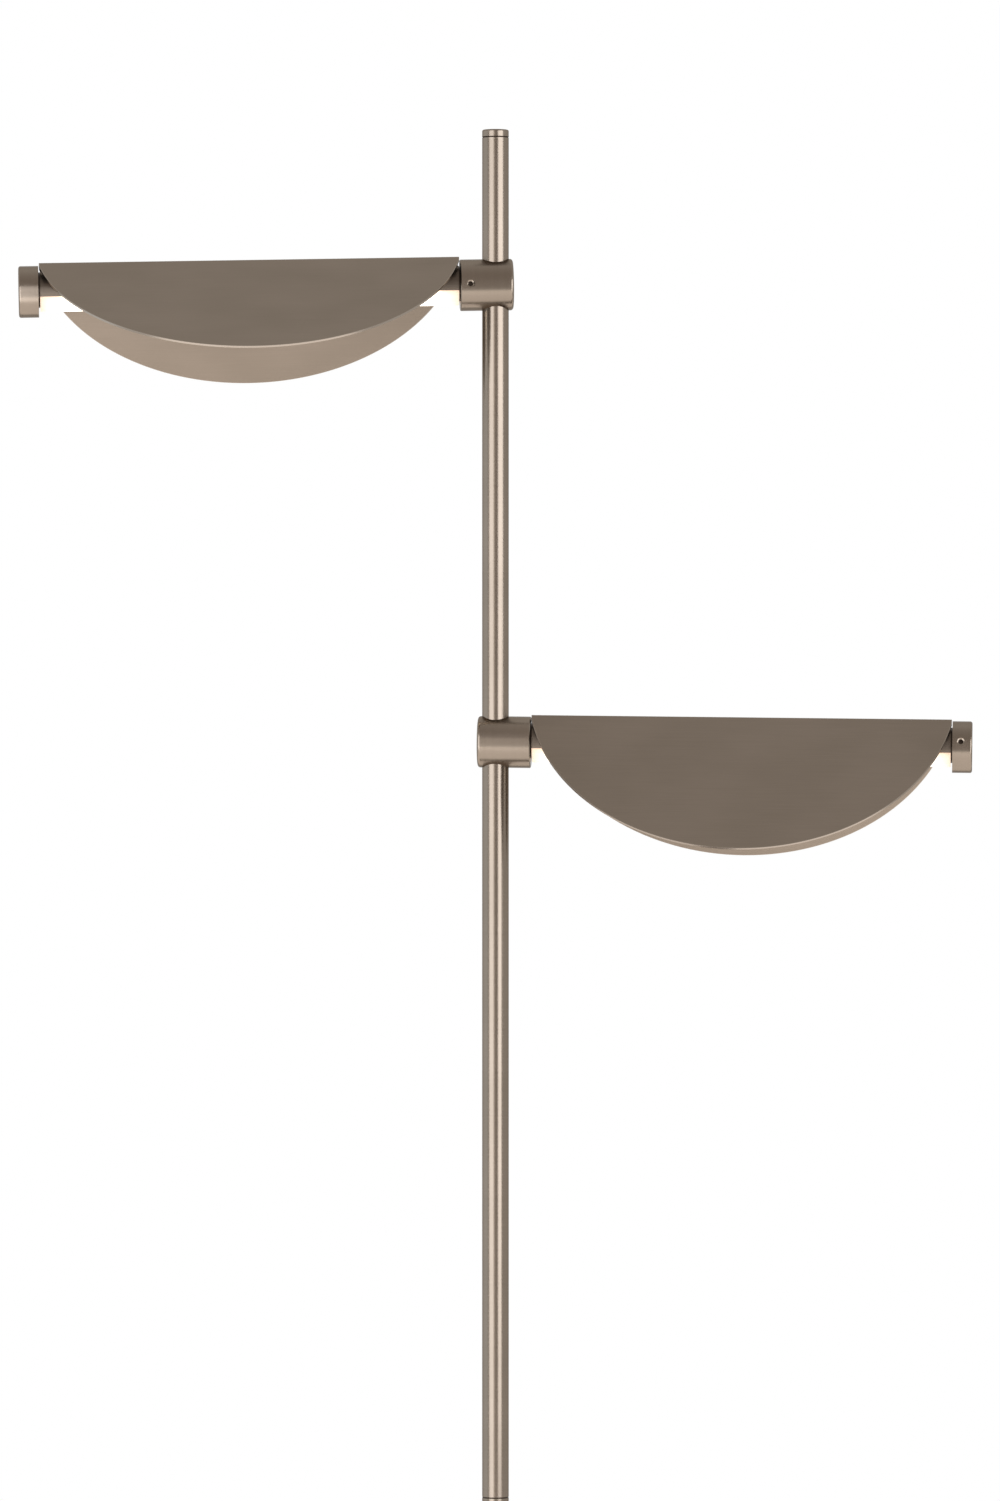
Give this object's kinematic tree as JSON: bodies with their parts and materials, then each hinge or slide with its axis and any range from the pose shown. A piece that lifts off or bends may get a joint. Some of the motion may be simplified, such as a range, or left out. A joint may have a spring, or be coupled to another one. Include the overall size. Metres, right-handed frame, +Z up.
{
  "type": "floor lamp",
  "caption": "Floor lamp: a pole on a round base carries tube lights on swivelling hubs, each roofed by half-moon metal leaves that fold on hinge rods.",
  "frame": {"origin": "on the floor, on the pole's axis, which is the middle of the lamp's outline seen from above", "axes": "+Z up along the pole; the upper light reaches out towards -X and the lower light towards +X at rest; -Y is the front"},
  "size_m": [0.7148, 0.26, 1.5],
  "materials": {
    "pole_metal": "satin, warm nickel plated, brushed round the pole",
    "light_metal": "satin, warm nickel plated, brushed along the light",
    "bright_steel": "plain bright steel",
    "black_steel": "black oxide on the lock screws",
    "opal": "opal acrylic, lit from inside, warm white",
    "board": "white circuit board",
    "chip": "phosphor of light chips",
    "rubber": "matt black",
    "cable": "matt black jacket",
    "lead": "pale grey silicone"
  },
  "bodies": {
    "stand": {"base_plate": "pole_metal", "base_pad": "rubber", "foot_collar": "pole_metal", "collar_screw": "black_steel", "foot_spigot": "bright_steel", "foot_nipple": "bright_steel", "foot_washer": "bright_steel", "foot_nut": "bright_steel", "cable_grommet": "rubber", "pole_lower": "pole_metal", "pole_joiner": "bright_steel", "pole_upper": "pole_metal", "pole_cap": "pole_metal", "supply_cable": "cable"},
    "upper_swivel_hub": {"upper_hub": "light_metal", "upper_pole_screw": "black_steel", "upper_tube_screw": "black_steel"},
    "upper_light": {"upper_arm_spigot": "bright_steel", "upper_light_tube": "light_metal", "upper_diffuser": "opal", "upper_led_board": "board", "upper_led_chips": "chip", "upper_lead": "lead", "upper_end_spigot": "bright_steel", "upper_end_cap": "light_metal", "upper_cap_screw": "black_steel", "upper_hinge_rail": "light_metal", "upper_rail_screws": "bright_steel", "upper_hinge_rods": "bright_steel", "upper_rod_clips": "bright_steel"},
    "upper_front_shade": {"upper_front_leaf": "light_metal"},
    "upper_rear_shade": {"upper_rear_leaf": "light_metal"},
    "lower_swivel_hub": {"lower_hub": "light_metal", "lower_pole_screw": "black_steel", "lower_tube_screw": "black_steel"},
    "lower_light": {"lower_arm_spigot": "bright_steel", "lower_light_tube": "light_metal", "lower_diffuser": "opal", "lower_led_board": "board", "lower_led_chips": "chip", "lower_lead": "lead", "lower_end_spigot": "bright_steel", "lower_end_cap": "light_metal", "lower_cap_screw": "black_steel", "lower_hinge_rail": "light_metal", "lower_rail_screws": "bright_steel", "lower_hinge_rods": "bright_steel", "lower_rod_clips": "bright_steel"},
    "lower_front_shade": {"lower_front_leaf": "light_metal"},
    "lower_rear_shade": {"lower_rear_leaf": "light_metal"}
  },
  "joints": [
    {"name": "upper_swivel", "type": "hinge", "parent": "stand", "child": "upper_swivel_hub", "pos_m": [0, 0, 1.3838], "axis": [0, 0, 1], "range_deg": [-160, 160]},
    {"name": "upper_turn", "type": "hinge", "parent": "upper_swivel_hub", "child": "upper_light", "pos_m": [0, 0, 1.3838], "axis": [-0.9986, -0.0488, -0.0183], "range_deg": [-90, 90]},
    {"name": "upper_front_leaf_fold", "type": "hinge", "parent": "upper_light", "child": "upper_front_shade", "pos_m": [-0.18428, -0.01292, 1.39812], "axis": [-0.9986, -0.0488, -0.0183], "range_deg": [-23.7, 32.3]},
    {"name": "upper_rear_leaf_fold", "type": "hinge", "parent": "upper_light", "child": "upper_rear_shade", "pos_m": [-0.18466, -0.00513, 1.39812], "axis": [0.9986, 0.0488, 0.0183], "range_deg": [-15.7, 40.3]},
    {"name": "lower_swivel", "type": "hinge", "parent": "stand", "child": "lower_swivel_hub", "pos_m": [0, 0, 1.041], "axis": [0, 0, 1], "range_deg": [-160, 160]},
    {"name": "lower_turn", "type": "hinge", "parent": "lower_swivel_hub", "child": "lower_light", "pos_m": [0, 0, 1.041], "axis": [0.9982, -0.0593, -0.0113], "range_deg": [-90, 90]},
    {"name": "lower_front_leaf_fold", "type": "hinge", "parent": "lower_light", "child": "lower_front_shade", "pos_m": [0.18403, -0.01484, 1.05661], "axis": [-0.9982, 0.0593, 0.0113], "range_deg": [-8.5, 47.5]},
    {"name": "lower_rear_leaf_fold", "type": "hinge", "parent": "lower_light", "child": "lower_rear_shade", "pos_m": [0.1845, -0.00705, 1.05661], "axis": [0.9982, -0.0593, -0.0113], "range_deg": [-4.6, 51.4]}
  ]
}
